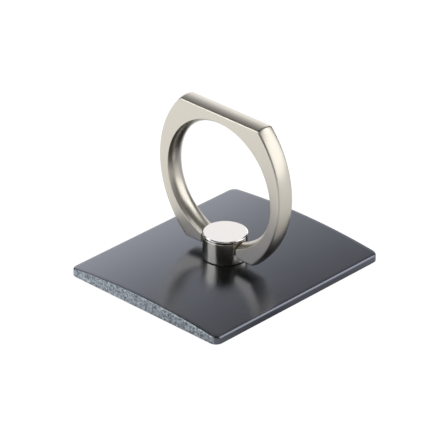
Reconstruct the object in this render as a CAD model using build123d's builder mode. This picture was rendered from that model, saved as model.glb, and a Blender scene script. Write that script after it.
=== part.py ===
from build123d import *
import os

# Phone ring holder: a black arched plate that sticks to the back of a phone, a chromed hub that
# swivels on the plate, and a satin nickel finger ring that folds on a friction hinge in the hub.
# X runs along the ring's hinge and the plate's arch, Y along the plate's straight length, Z up from
# the phone. The origin is the middle of the adhesive pad's lower face. All sizes are in millimetres.

# Adhesive pad
pad_thickness = 0.9
pad_recess_depth = 0.6
pad_clearance = 0.1
pad_hole_radius = 4.6

# Base plate
plate_width = 34.4
plate_length = 40.0
plate_edge_thickness = 1.36
plate_crown = 1.05
plate_corner_radius = 1.0
plate_edge_chamfer = 0.2
plate_rim = 1.6
plate_rim_corner_radius = 1.2
seat_depth = 0.08
seat_margin = 0.25
swivel_web = 0.85

# Swivel: spigot of the hub, and what holds it under the plate
spigot_radius = 2.0
running_clearance = 0.03
glide_washer_thickness = 0.12
glide_washer_inset = 0.2
swivel_spring_height = 0.25
swivel_spring_thickness = 0.1
clamp_washer_radius = 3.3
clamp_washer_thickness = 0.3
counterbore_clearance = 0.4
screw_radius = 0.98
thread_clearance = 0.02
screw_head_radius = 2.0
screw_head_height = 0.65
screw_head_chamfer = 0.2
screw_length = 2.2
thread_runout = 0.2
driver_slot_width = 0.45
driver_slot_length = 2.2
driver_slot_depth = 0.35

# Hub
hub_radius = 3.9
hub_height = 4.49
hub_foot_chamfer = 0.12
cap_rim_height = 0.55
cap_bevel_width = 0.2
cap_bevel_height = 0.1
cap_plug_depth = 0.35
seam_chamfer = 0.06
chamber_radius = 2.9
plug_clearance = 0.01
key_clearance = 0.05

# Hinge in the hub
hinge_rise = 2.2
axle_radius = 0.7
axle_clearance = 0.05
shoe_clearance = 0.1
shoe_web = 0.25
shoe_grip = 0.75
hinge_spring_thickness = 0.1
hinge_spring_bore = 1.0

# Finger ring
ring_width = 27.6
ring_thickness = 3.4
ring_hole_radius = 11.73
ring_hole_drop = 0.12
ring_side_radius = 17.8
ring_side_rise = 12.75
ring_top_wall = 1.6
ring_outer_crown = 0.3
ring_hole_crown = 0.5
ring_edge_break = 0.22
arm_drop = 0.65
arm_clearance = 0.15
arm_corner_chamfer = 0.3
axle_root = 0.6

# Heights up the stack
plate_underside = pad_thickness - pad_recess_depth
plate_edge_top = plate_underside + plate_edge_thickness
plate_top = plate_edge_top + plate_crown
seat_level = plate_top - seat_depth
web_underside = seat_level - swivel_web
spigot_end = web_underside - swivel_spring_height
clamp_underside = spigot_end - clamp_washer_thickness
hub_foot = seat_level + glide_washer_thickness
hub_top = hub_foot + hub_height
cap_seam = hub_top - cap_rim_height
plug_end = cap_seam - cap_plug_depth
hinge_height = hub_foot + hinge_rise
slot_radius = axle_radius + axle_clearance
shoe_top = hinge_height + slot_radius + shoe_web
shoe_foot = shoe_top - shoe_web - shoe_grip
chamber_floor = shoe_foot - shoe_clearance
hole_height = hinge_height - ring_hole_drop + ring_hole_radius
side_height = hinge_height + ring_side_rise
arm_foot = hinge_height - arm_drop
ring_crest = hole_height + ring_hole_radius + ring_top_wall
arm_end = hub_radius + arm_clearance

os.makedirs("parts", exist_ok=True)

# Adhesive pad: die-cut foam tape with a hole that clears the swivel screw.
with BuildPart() as adhesive_pad:
    with BuildSketch():
        pad_inset = plate_rim + pad_clearance
        RectangleRounded(
            plate_width - 2 * pad_inset,
            plate_length - 2 * pad_inset,
            plate_rim_corner_radius - pad_clearance,
        )
        Circle(pad_hole_radius, mode=Mode.SUBTRACT)
    extrude(amount=pad_thickness)
adhesive_pad.part.label = "adhesive_pad"
export_step(adhesive_pad.part, "parts/adhesive_pad.step")

# Base plate: an extruded D-section, arched across X and cut off square at both ends in Y, with a
# recess underneath for the pad, a spot-faced seat on top for the hub and a bore for its spigot.
with BuildPart() as base_plate:
    with BuildSketch(Plane.XZ):
        with BuildLine():
            half_width = plate_width / 2
            Polyline(
                (-half_width, plate_edge_top),
                (-half_width, plate_underside),
                (half_width, plate_underside),
                (half_width, plate_edge_top),
            )
            ThreePointArc(
                (half_width, plate_edge_top), (0, plate_top), (-half_width, plate_edge_top)
            )
        make_face()
    extrude(amount=plate_length / 2, both=True)
    upright_edges = base_plate.edges().filter_by(Axis.Z)
    fillet(upright_edges, plate_corner_radius)
    top_face = base_plate.faces().sort_by(Axis.Z)[-1]
    chamfer(top_face.edges(), plate_edge_chamfer)
    with BuildSketch(Plane.XY.offset(plate_underside)):
        RectangleRounded(
            plate_width - 2 * plate_rim, plate_length - 2 * plate_rim, plate_rim_corner_radius
        )
    extrude(amount=pad_recess_depth, mode=Mode.SUBTRACT)
    with BuildSketch(Plane.XY.offset(web_underside)):
        Circle(clamp_washer_radius + counterbore_clearance)
    extrude(amount=plate_underside - web_underside, mode=Mode.SUBTRACT)
    with BuildSketch(Plane.XY.offset(seat_level)):
        Circle(hub_radius + seat_margin)
    extrude(amount=plate_crown, mode=Mode.SUBTRACT)
    with BuildSketch(Plane.XY.offset(web_underside)):
        Circle(spigot_radius + running_clearance)
    extrude(amount=swivel_web, mode=Mode.SUBTRACT)
base_plate.part.label = "base_plate"
export_step(base_plate.part, "parts/base_plate.step")

# Glide washer: thin slippery disc between the hub's foot and its seat on the plate.
with BuildPart() as glide_washer:
    with BuildSketch(Plane.XY.offset(seat_level)):
        Circle(hub_radius - glide_washer_inset)
        Circle(spigot_radius + running_clearance, mode=Mode.SUBTRACT)
    extrude(amount=glide_washer_thickness)
glide_washer.part.label = "glide_washer"
export_step(glide_washer.part, "parts/glide_washer.step")

# Hub barrel: turned and chromed, with the swivel spigot below, a tapped hole up its middle, a
# chamber for the friction parts above, and a slot across the top that the ring's axle drops into.
with BuildPart() as hub_barrel:
    with BuildSketch(Plane.XZ):
        with BuildLine():
            Polyline(
                (0, spigot_end),
                (spigot_radius, spigot_end),
                (spigot_radius, hub_foot),
                (hub_radius - hub_foot_chamfer, hub_foot),
                (hub_radius, hub_foot + hub_foot_chamfer),
                (hub_radius, cap_seam - seam_chamfer),
                (hub_radius - seam_chamfer, cap_seam),
                (chamber_radius, cap_seam),
                (chamber_radius, chamber_floor),
                (0, chamber_floor),
                close=True,
            )
        make_face()
    revolve(axis=Axis.Z)
    with BuildSketch(Plane.YZ):
        with Locations((0, hinge_height)):
            Circle(slot_radius)
            Rectangle(2 * slot_radius, cap_seam, align=(Align.CENTER, Align.MIN))
    extrude(amount=2 * hub_radius, both=True, mode=Mode.SUBTRACT)
    with BuildSketch(Plane.XY.offset(spigot_end)):
        Circle(screw_radius + thread_clearance)
    extrude(amount=screw_length - clamp_washer_thickness + thread_runout, mode=Mode.SUBTRACT)
hub_barrel.part.label = "hub_barrel"
export_step(hub_barrel.part, "parts/hub_barrel.step")

# Swivel spring: cone washer between the plate's web and the clamp washer.
with BuildPart() as swivel_spring:
    with BuildSketch(Plane.XZ):
        with BuildLine():
            spring_bore = spigot_radius + counterbore_clearance / 2
            Polyline(
                (spring_bore, web_underside),
                (spring_bore, web_underside - swivel_spring_thickness),
                (clamp_washer_radius, spigot_end),
                (clamp_washer_radius, spigot_end + swivel_spring_thickness),
                close=True,
            )
        make_face()
    revolve(axis=Axis.Z)
swivel_spring.part.label = "swivel_spring"
export_step(swivel_spring.part, "parts/swivel_spring.step")

# Clamp washer: steel washer drawn up against the spigot's end by the screw.
with BuildPart() as clamp_washer:
    with BuildSketch(Plane.XY.offset(clamp_underside)):
        Circle(clamp_washer_radius)
        Circle(screw_radius + thread_clearance, mode=Mode.SUBTRACT)
    extrude(amount=clamp_washer_thickness)
clamp_washer.part.label = "clamp_washer"
export_step(clamp_washer.part, "parts/clamp_washer.step")

# Swivel screw: low-headed screw up into the hub, with a cross recess.
with BuildPart() as swivel_screw:
    with BuildSketch(Plane.XY.offset(clamp_underside)):
        Circle(screw_head_radius)
    extrude(amount=-screw_head_height)
    head_face = swivel_screw.faces().sort_by(Axis.Z)[0]
    chamfer(head_face.edges(), screw_head_chamfer)
    with BuildSketch(Plane.XY.offset(clamp_underside)):
        Circle(screw_radius)
    extrude(amount=screw_length)
    with BuildSketch(Plane.XY.offset(clamp_underside - screw_head_height)):
        Rectangle(driver_slot_length, driver_slot_width)
        Rectangle(driver_slot_width, driver_slot_length)
    extrude(amount=driver_slot_depth, mode=Mode.SUBTRACT)
swivel_screw.part.label = "swivel_screw"
export_step(swivel_screw.part, "parts/swivel_screw.step")

# Friction shoe: moulded half bearing that straddles the axle.
with BuildPart() as friction_shoe:
    with BuildSketch(Plane.XY.offset(shoe_foot)):
        Circle(chamber_radius - shoe_clearance)
    extrude(amount=shoe_top - shoe_foot)
    with BuildSketch(Plane.YZ):
        with Locations((0, hinge_height)):
            Circle(slot_radius)
    extrude(amount=hub_radius, both=True, mode=Mode.SUBTRACT)
friction_shoe.part.label = "friction_shoe"
export_step(friction_shoe.part, "parts/friction_shoe.step")

# Hinge spring: cone washer between the shoe and the cap's plug.
with BuildPart() as hinge_spring:
    with BuildSketch(Plane.XZ):
        with BuildLine():
            spring_rim = chamber_radius - shoe_clearance
            Polyline(
                (hinge_spring_bore, plug_end),
                (hinge_spring_bore, plug_end - hinge_spring_thickness),
                (spring_rim, shoe_top),
                (spring_rim, shoe_top + hinge_spring_thickness),
                close=True,
            )
        make_face()
    revolve(axis=Axis.Z)
hinge_spring.part.label = "hinge_spring"
export_step(hinge_spring.part, "parts/hinge_spring.step")

# Hub cap: polished disc pressed into the barrel, with two keys that close the slot over the axle.
with BuildPart() as hub_cap:
    with BuildSketch(Plane.XY.offset(cap_seam)):
        Rectangle(2 * hub_radius, 2 * (slot_radius - key_clearance))
        Circle(hub_radius - seam_chamfer, mode=Mode.INTERSECT)
        Circle(chamber_radius, mode=Mode.SUBTRACT)
    extrude(amount=-(cap_seam - hinge_height - slot_radius))
    with BuildSketch(Plane.XZ):
        with BuildLine():
            Polyline(
                (0, plug_end),
                (chamber_radius - plug_clearance, plug_end),
                (chamber_radius - plug_clearance, cap_seam),
                (hub_radius - seam_chamfer, cap_seam),
                (hub_radius, cap_seam + seam_chamfer),
                (hub_radius, hub_top - cap_bevel_height),
                (hub_radius - cap_bevel_width, hub_top),
                (0, hub_top),
                close=True,
            )
        make_face()
    revolve(axis=Axis.Z)
hub_cap.part.label = "hub_cap"
export_step(hub_cap.part, "parts/hub_cap.step")

# Finger ring: cast in one piece with its axle. Two crowned side arcs meet crowned flats at top and
# bottom in four mitred corners, and the lower flat is opened where the hub stands.
with BuildPart() as finger_ring:
    half_thickness = ring_thickness / 2
    side_centre = ring_width / 2 - ring_side_radius
    for side, mode in ((1, Mode.ADD), (-1, Mode.INTERSECT)):
        with BuildSketch(Plane((side * side_centre, 0, side_height))):
            with BuildLine():
                Polyline(
                    (ring_side_radius, half_thickness),
                    (0, half_thickness),
                    (0, -half_thickness),
                    (ring_side_radius, -half_thickness),
                )
                ThreePointArc(
                    (ring_side_radius, -half_thickness),
                    (ring_side_radius + ring_outer_crown, 0),
                    (ring_side_radius, half_thickness),
                )
            make_face()
            chamfer(vertices().group_by(Axis.X)[-1], ring_edge_break)
        revolve(axis=Axis((side * side_centre, 0, side_height), (0, 1, 0)), mode=mode)
    with BuildSketch(Plane.YZ.offset(-ring_width)):
        with BuildLine():
            Line((-half_thickness, ring_crest), (-half_thickness, arm_foot))
            ThreePointArc(
                (-half_thickness, arm_foot),
                (0, arm_foot - ring_outer_crown),
                (half_thickness, arm_foot),
            )
            Line((half_thickness, arm_foot), (half_thickness, ring_crest))
            ThreePointArc(
                (half_thickness, ring_crest),
                (0, ring_crest + ring_outer_crown),
                (-half_thickness, ring_crest),
            )
        make_face()
        chamfer(vertices(), ring_edge_break)
    extrude(amount=2 * ring_width, mode=Mode.INTERSECT)
    with BuildSketch(Plane.XY.offset(hole_height)):
        with BuildLine():
            edge_start = half_thickness - ring_edge_break
            Polyline(
                (ring_hole_radius, edge_start),
                (ring_hole_radius + ring_edge_break, half_thickness),
                (0, half_thickness),
                (0, -half_thickness),
                (ring_hole_radius + ring_edge_break, -half_thickness),
                (ring_hole_radius, -edge_start),
            )
            ThreePointArc(
                (ring_hole_radius, -edge_start),
                (ring_hole_radius - ring_hole_crown, 0),
                (ring_hole_radius, edge_start),
            )
        make_face()
    revolve(axis=Axis((0, 0, hole_height), (0, 1, 0)), mode=Mode.SUBTRACT)
    with BuildSketch(Plane.XY.offset(hole_height)):
        Rectangle(2 * arm_end, 2 * ring_thickness)
    extrude(amount=-2 * ring_hole_radius, mode=Mode.SUBTRACT)
    arm_end_edges = finger_ring.faces().filter_by(Axis.X).edges()
    lower_edges = arm_end_edges.filter_by_position(Axis.Z, plate_top, arm_foot + ring_edge_break)
    chamfer(lower_edges, arm_corner_chamfer)
    with BuildSketch(Plane.YZ):
        with Locations((0, hinge_height)):
            Circle(axle_radius)
    extrude(amount=arm_end + axle_root, both=True)
finger_ring.part.label = "finger_ring"
export_step(finger_ring.part, "parts/finger_ring.step")
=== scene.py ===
import math

import bmesh
import bpy
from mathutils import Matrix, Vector


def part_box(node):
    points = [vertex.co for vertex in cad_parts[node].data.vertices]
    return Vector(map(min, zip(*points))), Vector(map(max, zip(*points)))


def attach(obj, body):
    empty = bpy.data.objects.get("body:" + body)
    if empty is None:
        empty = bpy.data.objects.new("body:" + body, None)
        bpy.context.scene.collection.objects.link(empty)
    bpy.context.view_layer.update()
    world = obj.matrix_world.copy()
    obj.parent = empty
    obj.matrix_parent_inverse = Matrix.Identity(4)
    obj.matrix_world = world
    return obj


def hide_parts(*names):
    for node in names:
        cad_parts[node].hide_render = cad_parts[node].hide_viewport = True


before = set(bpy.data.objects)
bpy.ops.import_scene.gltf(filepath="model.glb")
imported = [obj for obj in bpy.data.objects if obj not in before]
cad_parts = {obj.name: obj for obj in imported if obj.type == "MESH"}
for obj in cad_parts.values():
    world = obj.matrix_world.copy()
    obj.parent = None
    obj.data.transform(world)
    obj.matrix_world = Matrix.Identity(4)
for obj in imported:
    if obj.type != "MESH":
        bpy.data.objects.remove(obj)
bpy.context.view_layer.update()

# Adhesive pad: a die-cut piece of black acrylic foam tape in the recess under the plate. Its sticky
# lower face holds the whole holder to the phone, and a hole in its middle clears the swivel screw.
MM = 0.001
foam_cell = 0.35
foam_dark = "#1b1b1c"
foam_pale = "#2b2b2c"


def linear(hex_colour):
    """An sRGB hex colour as the linear colour that a shader socket takes."""
    shares = [int(hex_colour[i:i + 2], 16) / 255 for i in (1, 3, 5)]
    return [s / 12.92 if s <= 0.04045 else ((s + 0.055) / 1.055) ** 2.4 for s in shares] + [1.0]


def add_node(tree, kind, sockets=None, **settings):
    """A new node with its settings; each socket takes a value or another node's output."""
    node = tree.nodes.new(kind)
    for name, value in settings.items():
        setattr(node, name, value)
    for socket, value in (sockets or {}).items():
        if isinstance(value, bpy.types.NodeSocket):
            tree.links.new(value, node.inputs[socket])
        else:
            node.inputs[socket].default_value = value
    return node


def start_material(name):
    """An empty material with its node tree and the output for the piece's own Object coordinates."""
    material = bpy.data.materials.new(name)
    material.use_nodes = True
    material.node_tree.nodes.clear()
    place = add_node(material.node_tree, "ShaderNodeTexCoord").outputs["Object"]
    return material, material.node_tree, place


# Acrylic foam tape: dull black with the faint mottle of its closed cells. A Mix node's sockets go by
# number here and below: share 0, colours 6 and 7, colour out 2, and 2, 3 and 0 for plain numbers.
foam, tree, place = start_material("black_acrylic_foam_tape")
cells = add_node(tree, "ShaderNodeTexVoronoi", {"Vector": place, "Scale": 1 / (foam_cell * MM)})
mottle = add_node(
    tree, "ShaderNodeMix",
    {0: cells.outputs["Distance"], 6: linear(foam_dark), 7: linear(foam_pale)}, data_type="RGBA",
)
dimples = add_node(
    tree, "ShaderNodeBump",
    {"Height": cells.outputs["Distance"], "Strength": 0.4, "Distance": 0.05 * MM},
)
surface = add_node(
    tree, "ShaderNodeBsdfPrincipled",
    {"Base Color": mottle.outputs[2], "Roughness": 0.75, "Normal": dimples.outputs["Normal"]},
)
add_node(tree, "ShaderNodeOutputMaterial", {"Surface": surface.outputs["BSDF"]})
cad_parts["adhesive_pad"].material_slots[0].material = foam

# Base plate: a length of aluminium extruded to a shallow arch, sawn off square at both ends and bored
# for the swivel. It is polished on top, left grainy on the sawn ends, and dyed black all over.
plate_low, plate_high = (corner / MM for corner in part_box("base_plate"))
plate_edge_top = 1.66
plate_corner_radius = 1.4
plate_edge_round = 0.36
plate_lower_round = 0.08
plate_rim = 1.6
plate_rim_corner_radius = 1.2
recess_ceiling = 0.9
web_underside = 1.78
seat_level = 2.63
seat_radius = 4.15
counterbore_radius = 3.7
swivel_bore_radius = 2.03
corner_steps = 12
side_steps = 36
round_steps = 6
top_steps = 30
weld_slack = 1e-5
sharp_angle = math.radians(20)
plate_black = "#686b75"
plate_black_worn = "#6c6f78"
end_dark = "#525a62"
end_pale = "#bcc4cc"
end_grain = 0.32
end_facing = 0.5
peel_size = 0.5
dye_patch = 7.0

arch_rise = plate_high.z - plate_edge_top
arch_radius = (plate_high.x ** 2 + arch_rise ** 2) / (2 * arch_rise)


def arch(x):
    """Height of the plate's top over the phone."""
    return plate_high.z - arch_radius + math.sqrt(arch_radius ** 2 - x * x)


def rounded_rectangle(half_x, half_y, radius):
    """Points round a rectangle with round corners, equally many at any size."""
    corners = []
    for turn, (sign_x, sign_y) in enumerate(((1, 1), (-1, 1), (-1, -1), (1, -1))):
        centre = Vector((sign_x * (half_x - radius), sign_y * (half_y - radius)))
        angles = [(turn + step / corner_steps) * math.pi / 2 for step in range(corner_steps + 1)]
        corners.append([centre + radius * Vector((math.cos(a), math.sin(a))) for a in angles])
    points = []
    for corner, following in zip(corners, corners[1:] + corners[:1]):
        side = [corner[-1].lerp(following[0], step / side_steps) for step in range(1, side_steps)]
        points += corner + side
    return points


def circle_like(points, radius):
    """A circle with one point in the direction of each given point."""
    return [p.normalized() * radius for p in points]


def at_height(points, height):
    """A flat loop lifted to one height, or to a height for each x."""
    lift = height if callable(height) else lambda x: height
    return [(p.x, p.y, lift(p.x)) for p in points]


def skin(name, loops, closed=False):
    """A smooth piece over loops of equally many points in millimetres, sharp only at real edges."""
    count = len(loops[0])
    pairs = list(zip(range(len(loops)), range(1, len(loops))))
    if closed:
        pairs.append((len(loops) - 1, 0))
    faces = [
        (a * count + i, a * count + (i + 1) % count, b * count + (i + 1) % count, b * count + i)
        for a, b in pairs for i in range(count)
    ]
    mesh = bpy.data.meshes.new(name)
    mesh.from_pydata([Vector(p) * MM for loop in loops for p in loop], [], faces)
    shape = bmesh.new()
    shape.from_mesh(mesh)
    bmesh.ops.remove_doubles(shape, verts=shape.verts, dist=weld_slack * MM)
    bmesh.ops.recalc_face_normals(shape, faces=shape.faces)
    shape.to_mesh(mesh)
    shape.free()
    mesh.shade_smooth()
    mesh.set_sharp_from_angle(angle=sharp_angle)
    piece = bpy.data.objects.new(name, mesh)
    bpy.context.scene.collection.objects.link(piece)
    return piece


def plate_outline(inset):
    """The plate's outline, drawn in by a given width."""
    return rounded_rectangle(plate_high.x - inset, plate_high.y - inset, plate_corner_radius - inset)


outline = plate_outline(0)
recess = rounded_rectangle(plate_high.x - plate_rim, plate_high.y - plate_rim, plate_rim_corner_radius)
bore = circle_like(outline, swivel_bore_radius)
counterbore = circle_like(outline, counterbore_radius)
seat = circle_like(outline, seat_radius)
plate_loops = [
    at_height(bore, web_underside),
    at_height(counterbore, web_underside),
    at_height(counterbore, recess_ceiling),
    at_height(recess, recess_ceiling),
    at_height(recess, plate_low.z),
    at_height(plate_outline(plate_lower_round), plate_low.z),
    at_height(outline, plate_low.z + plate_lower_round),
]
for step in range(round_steps + 1):
    turn = step / round_steps * math.pi / 2
    drop = plate_edge_round * (1 - math.sin(turn))
    edge = plate_outline(plate_edge_round * (1 - math.cos(turn)))
    plate_loops.append(at_height(edge, lambda x: arch(x) - drop))
for step in range(1, top_steps + 1):
    share = step / top_steps
    ring_in = [a.lerp(b, share) for a, b in zip(edge, seat)]
    plate_loops.append(at_height(ring_in, arch))
plate_loops += [at_height(seat, seat_level), at_height(bore, seat_level)]
base_plate = skin("arched_plate", plate_loops, closed=True)

# Polished black-dyed aluminium: a dark metal with a blue cast that mirrors the studio softly. The
# polish leaves a very shallow orange peel, and the dye is a touch uneven.
black_anodised, tree, place = start_material("polished_black_anodised_aluminium")
peel = add_node(
    tree, "ShaderNodeTexNoise", {"Vector": place, "Scale": 1 / (peel_size * MM), "Detail": 2.0}
)
dye = add_node(
    tree, "ShaderNodeTexNoise", {"Vector": place, "Scale": 1 / (dye_patch * MM), "Detail": 3.0}
)
tone = add_node(
    tree, "ShaderNodeMix",
    {0: dye.outputs["Fac"], 6: linear(plate_black), 7: linear(plate_black_worn)}, data_type="RGBA",
)
gloss = add_node(
    tree, "ShaderNodeMapRange",
    {"Value": dye.outputs["Fac"], "From Min": 0.3, "From Max": 0.7, "To Min": 0.2, "To Max": 0.24},
)
ripple = add_node(
    tree, "ShaderNodeBump", {"Height": peel.outputs["Fac"], "Strength": 0.15, "Distance": 0.001 * MM}
)
surface = add_node(
    tree, "ShaderNodeBsdfPrincipled",
    {"Base Color": tone.outputs[2], "Metallic": 1.0, "Roughness": gloss.outputs["Result"],
     "Normal": ripple.outputs["Normal"]},
)
add_node(tree, "ShaderNodeOutputMaterial", {"Surface": surface.outputs["BSDF"]})

# Sawn and blasted aluminium, thinly dyed: paler, grainy and dull, with pits and bright crystal flecks.
blasted_end, tree, place = start_material("blasted_saw_cut_aluminium")
grain = add_node(
    tree, "ShaderNodeTexNoise", {"Vector": place, "Scale": 1 / (end_grain * MM), "Detail": 3.0}
)
fleck = add_node(
    tree, "ShaderNodeMapRange",
    {"Value": grain.outputs["Fac"], "From Min": 0.3, "From Max": 0.72, "To Min": 0.0, "To Max": 1.0},
)
tone = add_node(
    tree, "ShaderNodeMix",
    {0: fleck.outputs["Result"], 6: linear(end_dark), 7: linear(end_pale)}, data_type="RGBA",
)
pits = add_node(
    tree, "ShaderNodeBump", {"Height": grain.outputs["Fac"], "Strength": 0.8, "Distance": 0.06 * MM}
)
surface = add_node(
    tree, "ShaderNodeBsdfPrincipled",
    {"Base Color": tone.outputs[2], "Metallic": 1.0, "Roughness": 0.5, "Normal": pits.outputs["Normal"]},
)
add_node(tree, "ShaderNodeOutputMaterial", {"Surface": surface.outputs["BSDF"]})

base_plate.data.materials.append(black_anodised)
base_plate.data.materials.append(blasted_end)
for face in base_plate.data.polygons:
    at_end = abs(face.center.y) > (plate_high.y - plate_edge_round / 2) * MM
    face.material_index = 1 if at_end and abs(face.normal.y) > end_facing else 0
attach(base_plate, "base")
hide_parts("base_plate")

# Glide washer: a thin black polymer disc that the hub turns on. Only its rim shows, as a dark line
# between the hub's foot and its seat.
film_black = "#0c0c0d"
film_grey = "#161617"
film_drift = 1.2

# Filled polymer film: satin black with a faint drift in tone.
film, tree, place = start_material("black_polymer_film")
drift = add_node(
    tree, "ShaderNodeTexNoise", {"Vector": place, "Scale": 1 / (film_drift * MM), "Detail": 2.0}
)
tone = add_node(
    tree, "ShaderNodeMix",
    {0: drift.outputs["Fac"], 6: linear(film_black), 7: linear(film_grey)}, data_type="RGBA",
)
surface = add_node(tree, "ShaderNodeBsdfPrincipled", {"Base Color": tone.outputs[2], "Roughness": 0.5})
add_node(tree, "ShaderNodeOutputMaterial", {"Surface": surface.outputs["BSDF"]})
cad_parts["glide_washer"].material_slots[0].material = film

# Hub barrel: turned from brass and chromed. Its spigot runs in the plate's bore, a tapped hole takes
# the swivel screw from below, and a slot across the top takes the ring's axle.
barrel_low, barrel_high = (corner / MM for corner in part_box("hub_barrel"))
hub_radius = barrel_high.x
cap_seam = barrel_high.z
hub_foot = 2.75
spigot_radius = 2.0
spigot_round = 0.1
tapped_radius = 1.0
tapped_depth = 2.1
hub_foot_round = 0.12
seam_round = 0.06
chamber_radius = 2.9
chamber_floor = 4.85
hinge_height = 4.95
slot_half_width = 0.75
slot_steps = 24
slot_tool_reach = 2 * hub_radius
slot_tool_rise = 1.0
hub_steps = 256
cut_slack = 0.002
chrome_bright = "#f0eada"
chrome_smoky = "#e6e0cf"
turning_pitch = 0.09
haze_patch = 1.5


def soften(profile):
    """A profile of (radius, height, rounding) with each rounded corner turned into a short curve."""
    points = []
    for index, (radius, height, rounding) in enumerate(profile):
        corner = Vector((radius, height))
        if not rounding:
            points.append(corner)
            continue
        before = (Vector(profile[index - 1][:2]) - corner).normalized() * rounding + corner
        after = (Vector(profile[index + 1][:2]) - corner).normalized() * rounding + corner
        for step in range(round_steps + 1):
            share = step / round_steps
            points.append(before.lerp(corner, share).lerp(corner.lerp(after, share), share))
    return points


def turned(name, profile):
    """A piece turned about the hub's axis from a profile of (radius, height, rounding)."""
    angles = [2 * math.pi * step / hub_steps for step in range(hub_steps)]
    loops = [
        [(p.x * math.cos(a), p.x * math.sin(a), p.y) for a in angles] for p in soften(profile)
    ]
    return skin(name, loops)


def combine(piece, tool, operation):
    """Cuts a piece with a tool, or joins the tool to it, and merges points that then all but meet."""
    modifier = piece.modifiers.new("combine", "BOOLEAN")
    modifier.object = tool
    modifier.operation = operation
    modifier.solver = "EXACT"
    graph = bpy.context.evaluated_depsgraph_get()
    before = piece.data
    piece.data = bpy.data.meshes.new_from_object(piece.evaluated_get(graph))
    piece.modifiers.remove(modifier)
    piece.data.name = before.name
    bpy.data.meshes.remove(before)
    bpy.data.objects.remove(tool)
    shape = bmesh.new()
    shape.from_mesh(piece.data)
    bmesh.ops.remove_doubles(shape, verts=shape.verts, dist=cut_slack * MM)
    bmesh.ops.dissolve_degenerate(shape, dist=cut_slack * MM, edges=shape.edges)
    shape.to_mesh(piece.data)
    shape.free()
    piece.data.shade_smooth()
    piece.data.set_sharp_from_angle(angle=sharp_angle)


hub_barrel = turned("hub_barrel_chromed", [
    (0, barrel_low.z + tapped_depth, 0),
    (tapped_radius, barrel_low.z + tapped_depth, 0),
    (tapped_radius, barrel_low.z, 0),
    (spigot_radius, barrel_low.z, spigot_round),
    (spigot_radius, hub_foot, 0),
    (hub_radius, hub_foot, hub_foot_round),
    (hub_radius, cap_seam, seam_round),
    (chamber_radius, cap_seam, 0),
    (chamber_radius, chamber_floor, 0),
    (0, chamber_floor, 0),
])
slot_turns = [math.pi * (1 + step / slot_steps) for step in range(slot_steps + 1)]
slot_section = [
    (slot_half_width * math.cos(a), hinge_height + slot_half_width * math.sin(a)) for a in slot_turns
]
slot_section += [(side * slot_half_width, cap_seam + slot_tool_rise) for side in (1, -1)]
slot_middle = (0, hinge_height + slot_tool_rise)
slot_tool = skin("slot_tool", [
    [(x, y, z) for y, z in section]
    for x, section in (
        (-slot_tool_reach, [slot_middle] * len(slot_section)),
        (-slot_tool_reach, slot_section),
        (slot_tool_reach, slot_section),
        (slot_tool_reach, [slot_middle] * len(slot_section)),
    )
])
combine(hub_barrel, slot_tool, "DIFFERENCE")

# Polished chrome over turned brass: mirror bright, with faint rings left by the lathe.
chrome, tree, place = start_material("polished_chrome_on_turned_brass")
axes = add_node(tree, "ShaderNodeSeparateXYZ", {0: place})
lathe = add_node(
    tree, "ShaderNodeTexNoise",
    {"W": axes.outputs["Z"], "Scale": 1 / (turning_pitch * MM), "Detail": 2.0}, noise_dimensions="1D",
)
haze = add_node(
    tree, "ShaderNodeTexNoise", {"Vector": place, "Scale": 1 / (haze_patch * MM), "Detail": 3.0}
)
tone = add_node(
    tree, "ShaderNodeMix",
    {0: haze.outputs["Fac"], 6: linear(chrome_smoky), 7: linear(chrome_bright)}, data_type="RGBA",
)
gloss = add_node(
    tree, "ShaderNodeMapRange",
    {"Value": haze.outputs["Fac"], "From Min": 0.3, "From Max": 0.7, "To Min": 0.16, "To Max": 0.2},
)
rings = add_node(
    tree, "ShaderNodeBump", {"Height": lathe.outputs["Fac"], "Strength": 0.1, "Distance": 0.001 * MM}
)
surface = add_node(
    tree, "ShaderNodeBsdfPrincipled",
    {"Base Color": tone.outputs[2], "Metallic": 1.0, "Roughness": gloss.outputs["Result"],
     "Normal": rings.outputs["Normal"]},
)
add_node(tree, "ShaderNodeOutputMaterial", {"Surface": surface.outputs["BSDF"]})
hub_barrel.data.materials.append(chrome)
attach(hub_barrel, "hub")
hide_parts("hub_barrel")

# Swivel spring, clamp washer and swivel screw: the stack under the plate that draws the hub down and
# gives the swivel its drag. The washer and screw are zinc-plated steel, the cone washer spring steel.
zinc_pale = "#c3c7ca"
zinc_blue = "#a9b0b8"
spangle = 0.6

# Zinc plate: pale blue-grey with soft spangled patches.
zinc, tree, place = start_material("zinc_plated_steel")
patches = add_node(tree, "ShaderNodeTexVoronoi", {"Vector": place, "Scale": 1 / (spangle * MM)})
tone = add_node(
    tree, "ShaderNodeMix",
    {0: patches.outputs["Color"], 6: linear(zinc_blue), 7: linear(zinc_pale)}, data_type="RGBA",
)
gloss = add_node(
    tree, "ShaderNodeMapRange",
    {"Value": patches.outputs["Distance"], "From Max": 0.8, "To Min": 0.25, "To Max": 0.4},
)
surface = add_node(
    tree, "ShaderNodeBsdfPrincipled",
    {"Base Color": tone.outputs[2], "Metallic": 1.0, "Roughness": gloss.outputs["Result"]},
)
add_node(tree, "ShaderNodeOutputMaterial", {"Surface": surface.outputs["BSDF"]})
for name in ("clamp_washer", "swivel_screw"):
    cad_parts[name].material_slots[0].material = zinc

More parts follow.
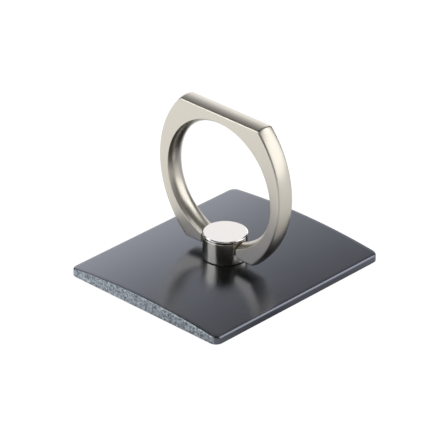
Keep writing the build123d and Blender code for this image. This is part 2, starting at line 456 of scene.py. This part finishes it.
# Blued spring steel: dark with bands of straw and blue from its tempering.
spring_blue = "#3d434c"
spring_straw = "#6d6253"
temper_band = 2.0
blued_steel, tree, place = start_material("blued_spring_steel")
temper = add_node(
    tree, "ShaderNodeTexNoise", {"Vector": place, "Scale": 1 / (temper_band * MM), "Detail": 2.0}
)
tone = add_node(
    tree, "ShaderNodeMix",
    {0: temper.outputs["Fac"], 6: linear(spring_blue), 7: linear(spring_straw)}, data_type="RGBA",
)
surface = add_node(
    tree, "ShaderNodeBsdfPrincipled", {"Base Color": tone.outputs[2], "Metallic": 1.0, "Roughness": 0.3}
)
add_node(tree, "ShaderNodeOutputMaterial", {"Surface": surface.outputs["BSDF"]})
for name in ("swivel_spring", "hinge_spring"):
    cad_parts[name].material_slots[0].material = blued_steel

# Friction shoe: a moulded half bearing that the hinge spring presses on the ring's axle, so that the
# ring stays at any angle. It is natural acetal.
acetal_white = "#ece8dd"
acetal_cream = "#e2dccd"
acetal_flow = 1.8
acetal_depth = 0.5

# Natural acetal: milky, waxy and slightly see-through.
acetal, tree, place = start_material("natural_moulded_acetal")
flow = add_node(
    tree, "ShaderNodeTexNoise", {"Vector": place, "Scale": 1 / (acetal_flow * MM), "Detail": 2.0}
)
tone = add_node(
    tree, "ShaderNodeMix",
    {0: flow.outputs["Fac"], 6: linear(acetal_cream), 7: linear(acetal_white)}, data_type="RGBA",
)
surface = add_node(
    tree, "ShaderNodeBsdfPrincipled",
    {"Base Color": tone.outputs[2], "Roughness": 0.38, "IOR": 1.48, "Subsurface Weight": 0.2,
     "Subsurface Scale": acetal_depth * MM},
)
add_node(tree, "ShaderNodeOutputMaterial", {"Surface": surface.outputs["BSDF"]})
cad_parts["friction_shoe"].material_slots[0].material = acetal

# Hub cap: a chromed disc pressed into the barrel over the friction parts. It has a bevelled rim, and
# two keys below it close the slot over the axle.
cap_low, cap_high = (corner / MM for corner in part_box("hub_cap"))
cap_bevel_width = 0.2
cap_bevel_height = 0.1
cap_edge_round = 0.05
cap_plug_radius = 2.89
cap_plug_end = 6.34
key_half_width = 0.7
key_steps = 6
key_rim = hub_radius - seam_round
cap_bright = "#fbf8f6"
cap_pink = "#f8f3f1"
polish_width = 0.12
bloom_patch = 2.4

hub_cap = turned("hub_cap_chromed", [
    (0, cap_plug_end, 0),
    (cap_plug_radius, cap_plug_end, cap_edge_round),
    (cap_plug_radius, cap_seam, 0),
    (hub_radius, cap_seam, seam_round),
    (hub_radius, cap_high.z - cap_bevel_height, cap_edge_round),
    (hub_radius - cap_bevel_width, cap_high.z, 0),
    (hub_radius - 2 * cap_bevel_width, cap_high.z, 0),
    (0, cap_high.z, 0),
])
key_turn = math.asin(key_half_width / key_rim)
key_arc = [key_turn * step / key_steps for step in range(-key_steps, key_steps + 1)]
heights = (cap_low.z, cap_seam + seam_round)
for side in (1, -1):
    key_section = []
    for radius, turns in ((key_rim, key_arc), (chamber_radius, key_arc[::-1])):
        key_section += [(side * radius * math.cos(a), side * radius * math.sin(a)) for a in turns]
    middle = side * (key_rim + chamber_radius) / 2
    key = skin("cap_key", [
        [(middle, 0, heights[0])] * len(key_section),
        [(x, y, heights[0]) for x, y in key_section],
        [(x, y, heights[1]) for x, y in key_section],
        [(middle, 0, heights[1])] * len(key_section),
    ])
    combine(hub_cap, key, "UNION")

# Bright chrome, buffed flat: near white, with a faint milky bloom and fine buffing rings.
bright_chrome, tree, place = start_material("buffed_bright_chrome")
bloom = add_node(
    tree, "ShaderNodeTexNoise", {"Vector": place, "Scale": 1 / (bloom_patch * MM), "Detail": 2.0}
)
reach = add_node(tree, "ShaderNodeVectorMath", {0: place}, operation="LENGTH")
buffing = add_node(
    tree, "ShaderNodeTexNoise",
    {"W": reach.outputs["Value"], "Scale": 1 / (polish_width * MM), "Detail": 1.0}, noise_dimensions="1D",
)
tone = add_node(
    tree, "ShaderNodeMix",
    {0: bloom.outputs["Fac"], 6: linear(cap_pink), 7: linear(cap_bright)}, data_type="RGBA",
)
gloss = add_node(
    tree, "ShaderNodeMapRange",
    {"Value": bloom.outputs["Fac"], "From Min": 0.3, "From Max": 0.7, "To Min": 0.07, "To Max": 0.11},
)
rings = add_node(
    tree, "ShaderNodeBump", {"Height": buffing.outputs["Fac"], "Strength": 0.1, "Distance": 0.001 * MM}
)
surface = add_node(
    tree, "ShaderNodeBsdfPrincipled",
    {"Base Color": tone.outputs[2], "Metallic": 1.0, "Roughness": gloss.outputs["Result"],
     "Normal": rings.outputs["Normal"]},
)
add_node(tree, "ShaderNodeOutputMaterial", {"Surface": surface.outputs["BSDF"]})
hub_cap.data.materials.append(bright_chrome)
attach(hub_cap, "hub")
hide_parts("hub_cap")

# Finger ring: cast in zinc alloy in one piece with its axle, tumbled and plated in satin nickel. Two
# crowned side arcs meet crowned flats in four mitred corners, the arms thicken towards the hub, and
# the axle runs through it.
ring_low, ring_high = (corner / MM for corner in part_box("finger_ring"))
half_thickness = ring_high.y
ring_outer_crown = 0.3
ring_hole_crown = 0.5
ring_edge_break = 0.22
ring_edge_round = 0.36
hole_edge_round = 0.2
ring_hole_radius = 11.73
ring_side_radius = 17.8
side_height = 17.7
hole_below_hinge = 0.12
hole_height = hinge_height - hole_below_hinge + ring_hole_radius
side_centre = ring_high.x - ring_outer_crown - ring_side_radius
crest = ring_high.z - ring_outer_crown
arm_foot = ring_low.z + ring_outer_crown
arm_gap = 0.15
arm_end = hub_radius + arm_gap
arm_corner_round = 0.25
arm_swell = 0.54
swell_from = math.radians(-12)
swell_to = math.radians(-66)
arm_end_round = 0.1
axle_radius = 0.7
top_mitre_round = 0.6
foot_mitre_round = 0.2
crown_steps = 14
face_steps = 4
arm_steps = 12
arm_crowding = 1.6
arc_steps = 72
flat_steps = 40
nickel_pale = "#c8c3b9"
nickel_warm = "#c2bdb2"
satin_grain = 0.14
satin_cloud = 5.0


def crowned_wall(crown, span, edge_round):
    """(y, rise) from the front face to the back over a crowned wall with rounded edges."""
    bow = (span ** 2 + crown ** 2) / (2 * crown)
    run = half_thickness - edge_round
    reach = math.sqrt((bow - edge_round) ** 2 - run ** 2)
    lean = math.atan2(run, reach)
    edge = []
    for step in range(round_steps):
        turn = math.pi / 2 - (math.pi / 2 - lean) * step / round_steps
        edge.append((
            run + edge_round * math.sin(turn),
            crown - bow + reach + edge_round * math.cos(turn),
        ))
    middle = []
    for step in range(crown_steps + 1):
        turn = lean * (2 * step / crown_steps - 1)
        middle.append((bow * math.sin(turn), crown - bow + bow * math.cos(turn)))
    return [(-y, rise) for y, rise in edge] + middle + edge[::-1]


def outline_at(rise):
    """The right half of the ring's outline, raised by the crown, from the arm's end to mid-top."""
    grown = ring_side_radius + rise
    points = []
    corners = []
    for inner, rounding in (
        (arm_foot - rise + foot_mitre_round, foot_mitre_round),
        (crest + rise - top_mitre_round, top_mitre_round),
    ):
        x = side_centre + math.sqrt((grown - rounding) ** 2 - (inner - side_height) ** 2)
        corners.append((x, inner, math.atan2(inner - side_height, x - side_centre)))
    (foot_x, foot_z, foot_turn), (top_x, top_z, top_turn) = corners
    for step in range(arm_steps + 1):
        x = arm_end + (foot_x - arm_end) * (step / arm_steps) ** arm_crowding
        left = max(arm_corner_round - (x - arm_end), 0)
        lift = arm_corner_round - math.sqrt(arm_corner_round ** 2 - left ** 2)
        points.append((x, arm_foot - rise + lift))
    for step in range(1, round_steps + 1):
        turn = -math.pi / 2 + (foot_turn + math.pi / 2) * step / round_steps
        points.append((
            foot_x + foot_mitre_round * math.cos(turn), foot_z + foot_mitre_round * math.sin(turn)
        ))
    for step in range(1, arc_steps + 1):
        turn = foot_turn + (top_turn - foot_turn) * step / arc_steps
        points.append((side_centre + grown * math.cos(turn), side_height + grown * math.sin(turn)))
    for step in range(1, round_steps + 1):
        turn = top_turn + (math.pi / 2 - top_turn) * step / round_steps
        points.append((
            top_x + top_mitre_round * math.cos(turn), top_z + top_mitre_round * math.sin(turn)
        ))
    for step in range(1, flat_steps + 1):
        points.append((top_x * (1 - step / flat_steps), crest + rise))
    return points


def swell_at(turn):
    """How far the hole draws in at a turn about its middle: the arms are thicker towards the hub."""
    share = min(max((swell_from - turn) / (swell_from - swell_to), 0), 1)
    return arm_swell * share * share * (3 - 2 * share)


outer_wall = crowned_wall(ring_outer_crown, half_thickness, ring_edge_round)
hole_wall = crowned_wall(ring_hole_crown, half_thickness - ring_edge_break, hole_edge_round)
outlines = {rise: outline_at(rise) for y, rise in outer_wall}
plain = outline_at(0)
sections = []
for station, (plain_x, plain_z) in enumerate(plain):
    outside = [(outlines[rise][station][0], y, outlines[rise][station][1]) for y, rise in outer_wall]
    inside = []
    for y, rise in hole_wall:
        end_turn = -math.acos(arm_end / (ring_hole_radius - rise - arm_swell))
        turn = max(math.atan2(plain_z - hole_height, plain_x), end_turn)
        if station <= arm_steps:
            corner_turn = math.atan2(plain[arm_steps][1] - hole_height, plain[arm_steps][0])
            share = (plain_x - arm_end) / (plain[arm_steps][0] - arm_end)
            turn = end_turn + (corner_turn - end_turn) * share
        radius = ring_hole_radius - rise - swell_at(turn)
        inside.append((radius * math.cos(turn), y, hole_height + radius * math.sin(turn)))
    section = list(outside)
    for step in range(1, face_steps):
        section.append(Vector(outside[-1]).lerp(Vector(inside[-1]), step / face_steps))
    section += inside[::-1]
    for step in range(1, face_steps):
        section.append(Vector(inside[0]).lerp(Vector(outside[0]), step / face_steps))
    sections.append([Vector(p) for p in section])

arm_tip = []
for step in range(round_steps):
    turn = math.pi / 2 * step / round_steps
    x = arm_end + arm_end_round * (1 - math.cos(turn))
    shrink = 1 - arm_end_round * (1 - math.sin(turn))
    arm_tip.append([
        Vector((x, p.y * shrink, hinge_height + (p.z - hinge_height) * shrink)) for p in sections[0]
    ])
axle_end = []
for p in arm_tip[0]:
    turn = math.atan2(p.z - hinge_height, p.y)
    axle_end.append(Vector((
        arm_end, axle_radius * math.cos(turn), hinge_height + axle_radius * math.sin(turn)
    )))
right_half = [axle_end] + arm_tip + sections[1:]
left_half = [[Vector((-p.x, p.y, p.z)) for p in section] for section in right_half[-2::-1]]
finger_ring = skin("finger_ring_nickel", right_half + left_half, closed=True)

# Satin nickel on a tumbled casting: warm pale grey, softly blurred, with a pearly grain that is drawn
# coarser than the real one so that it shows.
satin_nickel, tree, place = start_material("satin_nickel_on_zinc_casting")
pearl = add_node(
    tree, "ShaderNodeTexNoise", {"Vector": place, "Scale": 1 / (satin_grain * MM), "Detail": 2.0}
)
cloud = add_node(
    tree, "ShaderNodeTexNoise", {"Vector": place, "Scale": 1 / (satin_cloud * MM), "Detail": 3.0}
)
tone = add_node(
    tree, "ShaderNodeMix",
    {0: cloud.outputs["Fac"], 6: linear(nickel_warm), 7: linear(nickel_pale)}, data_type="RGBA",
)
gloss = add_node(
    tree, "ShaderNodeMapRange",
    {"Value": cloud.outputs["Fac"], "From Min": 0.3, "From Max": 0.7, "To Min": 0.28, "To Max": 0.34},
)
grit = add_node(
    tree, "ShaderNodeBump", {"Height": pearl.outputs["Fac"], "Strength": 0.1, "Distance": 0.001 * MM}
)
surface = add_node(
    tree, "ShaderNodeBsdfPrincipled",
    {"Base Color": tone.outputs[2], "Metallic": 1.0, "Roughness": gloss.outputs["Result"],
     "Normal": grit.outputs["Normal"]},
)
add_node(tree, "ShaderNodeOutputMaterial", {"Surface": surface.outputs["BSDF"]})
finger_ring.data.materials.append(satin_nickel)
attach(finger_ring, "ring")
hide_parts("finger_ring")

# Studio floor: a white sweep that the holder lies on. It glows for the camera and for reflections, so
# that it stays white, and it still takes the holder's soft shadow. The glow that metal mirrors carries
# painted
# shade and a painted shadow: darker near the holder and on some sides, a little brighter on others, given
# by angle and by distance in millimetres.
floor_radius = 1.5
floor_sides = 64
floor_drop = 0.02
floor_white = "#ffffff"
floor_glow = 0.96
floor_shade = 0.16
# Painted shade for reflections: the floor glow's level by angle in degrees about the holder, and a painted
# shadow by distance in millimetres from its middle.
painted_shade_by_angle = (
    (-180, 1.06), (-120, 1.08), (-90, 0.98), (-60, 0.86), (-35, 0.52), (-13, 0.48), (-1, 0.84), (60, 0.84),
    (80, 0.50), (104, 0.44), (124, 0.92), (180, 1.06),
)
painted_shadow_middle = (6.0, 2.0, 0.0)
painted_shadow_by_distance = ((16, 0.45), (26, 0.86), (36, 1.0), (60, 1.08), (100, 1.10))

floor_mesh = bpy.data.meshes.new("studio_floor")
shape = bmesh.new()
bmesh.ops.create_circle(shape, cap_ends=True, segments=floor_sides, radius=floor_radius)
shape.to_mesh(floor_mesh)
shape.free()
floor = bpy.data.objects.new("studio_floor", floor_mesh)
floor.location.z = -floor_drop * MM
bpy.context.scene.collection.objects.link(floor)

# White paper sweep: matt, lit by the lamps for diffuse light, self-lit where it is looked at, with painted
# shade and a painted shadow in the glow that reflections see.
paper, tree, place = start_material("white_paper_sweep")
rays = add_node(tree, "ShaderNodeLightPath")
seen = add_node(
    tree, "ShaderNodeMath",
    {0: rays.outputs["Is Camera Ray"], 1: rays.outputs["Is Glossy Ray"]}, operation="ADD",
)
shown = add_node(
    tree, "ShaderNodeMath",
    {0: seen.outputs["Value"], 1: rays.outputs["Is Transmission Ray"]}, operation="ADD", use_clamp=True,
)
matt = add_node(tree, "ShaderNodeBsdfDiffuse", {"Color": linear(floor_white)})
shade = add_node(tree, "ShaderNodeBsdfDiffuse", {"Color": [floor_shade] * 3 + [1.0]})
axes = add_node(tree, "ShaderNodeSeparateXYZ", {0: place})
# Painted shade and shadow: the glow that reflections see is scaled by angle about the holder and by
# distance from the painted shadow's middle.
turn = add_node(
    tree, "ShaderNodeMath", {0: axes.outputs["Y"], 1: axes.outputs["X"]}, operation="ARCTAN2"
)
aside = add_node(
    tree, "ShaderNodeVectorMath", {0: place, 1: Vector(painted_shadow_middle) * MM}, operation="SUBTRACT"
)
reach = add_node(tree, "ShaderNodeVectorMath", {0: aside.outputs["Vector"]}, operation="LENGTH")
painted_shade_ramps = []
for output, low, high, stops in (
    (turn.outputs["Value"], -math.pi, math.pi, [(math.radians(a), s) for a, s in painted_shade_by_angle]),
    (reach.outputs["Value"], 0, painted_shadow_by_distance[-1][0] * MM, [(r * MM, s) for r, s in painted_shadow_by_distance]),
):
    share = add_node(tree, "ShaderNodeMapRange", {"Value": output, "From Min": low, "From Max": high})
    ramp = add_node(tree, "ShaderNodeValToRGB", {0: share.outputs["Result"]})
    while len(ramp.color_ramp.elements) < len(stops):
        ramp.color_ramp.elements.new(0.5)
    for element, (at, brightness) in zip(ramp.color_ramp.elements, stops):
        element.position = (at - low) / (high - low)
        element.color = [brightness] * 3 + [1.0]
    painted_shade_ramps.append(ramp.outputs["Color"])
mirrored_painted_shade = add_node(tree, "ShaderNodeMath", {0: painted_shade_ramps[0], 1: painted_shade_ramps[1]}, operation="MULTIPLY")
level = add_node(
    tree, "ShaderNodeMix",
    {0: rays.outputs["Is Glossy Ray"], 2: floor_glow, 3: mirrored_painted_shade.outputs["Value"]}, data_type="FLOAT",
)
glow = add_node(
    tree, "ShaderNodeEmission", {"Color": linear(floor_white), "Strength": level.outputs[0]}
)
white = add_node(tree, "ShaderNodeAddShader", {0: shade.outputs["BSDF"], 1: glow.outputs["Emission"]})
mix = add_node(
    tree, "ShaderNodeMixShader",
    {0: shown.outputs["Value"], 1: matt.outputs["BSDF"], 2: white.outputs["Shader"]},
)
add_node(tree, "ShaderNodeOutputMaterial", {"Surface": mix.outputs["Shader"]})
floor_mesh.materials.append(paper)

# Camera: a long lens at the photograph's viewing angle, aimed so that the picture's middle falls on
# the same point of the holder.
camera_azimuth = math.radians(43.84)
camera_elevation = math.radians(28.749)
camera_distance = 0.582
aim = Vector((-2.64, 2.47, 6.71)) * MM
lens_length = 275.28
sensor_width = 36

camera_data = bpy.data.cameras.new("camera")
camera_data.lens = lens_length
camera_data.sensor_width = sensor_width
camera = bpy.data.objects.new("camera", camera_data)
towards_camera = Vector((
    math.sin(camera_azimuth) * math.cos(camera_elevation),
    -math.cos(camera_azimuth) * math.cos(camera_elevation),
    math.sin(camera_elevation),
))
camera.location = aim + towards_camera * camera_distance
camera.rotation_mode = "QUATERNION"
camera.rotation_quaternion = (-towards_camera).to_track_quat("-Z", "Y")
bpy.context.scene.collection.objects.link(camera)
bpy.context.scene.camera = camera

# Light tent: a white cloth panel behind the holder that darkens with height, so that polished metal
# has something dark to mirror. The other sides are dim, but for a grey card on the camera's side and a
# white one high at the right. The camera itself sees plain white.
tent_azimuth = math.radians(130)
tent_edge = (0.82, 0.94)
tent_peak = 1.85
tent_levels = (
    (0.30, 1.00), (0.475, 0.62), (0.588, 0.36), (0.656, 0.20), (0.707, 0.15), (0.77, 0.12), (0.88, 0.04),
)
tent_dim = 0.03
backdrop_white = 1.0
# Azimuth, elevation, outer and inner angle of the soft edge, and brightness of each card. The cards show
# in first reflections only, so that parts which mirror each other keep their contrast.
cards = ((-46, 28, 40, 20, 0.30), (62, 51, 21, 9, 1.6))
card_last_depth = 2.5

world = bpy.data.worlds.new("light_tent")
bpy.context.scene.world = world
world.use_nodes = True
tree = world.node_tree
tree.nodes.clear()
direction = add_node(tree, "ShaderNodeTexCoord").outputs["Generated"]
axes = add_node(tree, "ShaderNodeSeparateXYZ", {0: direction})
cloth = add_node(tree, "ShaderNodeValToRGB", {0: axes.outputs["Z"]})
ramp = cloth.color_ramp
ramp.interpolation = "EASE"
while len(ramp.elements) < len(tent_levels):
    ramp.elements.new(0.5)
for element, (level, brightness) in zip(ramp.elements, tent_levels):
    element.position = level
    element.color = [brightness] * 3 + [1.0]
flat = add_node(tree, "ShaderNodeVectorMath", {0: direction, 1: (1, 1, 0)}, operation="MULTIPLY")
heading = add_node(tree, "ShaderNodeVectorMath", {0: flat.outputs["Vector"]}, operation="NORMALIZE")
facing = (math.cos(tent_azimuth), math.sin(tent_azimuth), 0.0)
aside = add_node(
    tree, "ShaderNodeVectorMath", {0: heading.outputs["Vector"], 1: facing}, operation="DOT_PRODUCT"
)
panel = add_node(
    tree, "ShaderNodeMapRange",
    {"Value": aside.outputs["Value"], "From Min": tent_edge[0], "From Max": tent_edge[1],
     "To Min": tent_dim / tent_peak, "To Max": 1.0}, interpolation_type="SMOOTHSTEP",
)
lit = add_node(
    tree, "ShaderNodeMath", {0: cloth.outputs["Color"], 1: panel.outputs["Result"]}, operation="MULTIPLY"
)
scaled = add_node(tree, "ShaderNodeMath", {0: lit.outputs["Value"], 1: tent_peak}, operation="MULTIPLY")
rays = add_node(tree, "ShaderNodeLightPath")
first = add_node(
    tree, "ShaderNodeMath", {0: rays.outputs["Ray Depth"], 1: card_last_depth}, operation="LESS_THAN"
)
light = scaled.outputs["Value"]
for azimuth, elevation, edge, middle, brightness in cards:
    a, e = math.radians(azimuth), math.radians(elevation)
    facing = (math.cos(a) * math.cos(e), math.sin(a) * math.cos(e), math.sin(e))
    nearness = add_node(
        tree, "ShaderNodeVectorMath", {0: direction, 1: facing}, operation="DOT_PRODUCT"
    )
    card = add_node(
        tree, "ShaderNodeMapRange",
        {"Value": nearness.outputs["Value"], "From Min": math.cos(math.radians(edge)),
         "From Max": math.cos(math.radians(middle)), "To Max": brightness},
        interpolation_type="SMOOTHSTEP",
    )
    light = add_node(
        tree, "ShaderNodeMath",
        {0: card.outputs["Result"], 1: first.outputs["Value"], 2: light}, operation="MULTIPLY_ADD",
    ).outputs["Value"]
strength = add_node(
    tree, "ShaderNodeMix",
    {0: rays.outputs["Is Camera Ray"], 2: light, 3: backdrop_white}, data_type="FLOAT",
)
tent = add_node(tree, "ShaderNodeBackground", {"Strength": strength.outputs[0]})
add_node(tree, "ShaderNodeOutputWorld", {"Surface": tent.outputs["Background"]})

# Softboxes: two at the left and a small high one at the front light the ring's faces and edges, a large
# one at the right lights its outer side and its hole, and a low faint one fills the camera's side.
lamp_distance = 0.5


def softbox(name, azimuth, elevation, width, height, radiance):
    """A lamp that faces the holder, with its sizes in metres and its brightness to the eye."""
    lamp = bpy.data.lights.new(name, "AREA")
    lamp.shape = "RECTANGLE"
    lamp.size = width
    lamp.size_y = height
    lamp.energy = radiance * math.pi * width * height
    holder = bpy.data.objects.new(name, lamp)
    a, e = math.radians(azimuth), math.radians(elevation)
    outward = Vector((math.cos(a) * math.cos(e), math.sin(a) * math.cos(e), math.sin(e)))
    holder.location = outward * lamp_distance
    holder.rotation_mode = "QUATERNION"
    holder.rotation_quaternion = (-outward).to_track_quat("-Z", "Y")
    bpy.context.scene.collection.objects.link(holder)


softbox("front_left_softbox", -119, 27, 0.40, 0.31, 2.2)
softbox("left_softbox", -158, 44, 0.30, 0.18, 1.8)
softbox("front_top_softbox", -88, 61, 0.22, 0.18, 1.6)
softbox("right_softbox", 37, 24, 0.66, 0.42, 1.9)
softbox("front_low_softbox", -40, 8, 0.36, 0.10, 0.35)

bpy.context.scene.view_settings.view_transform = "Standard"
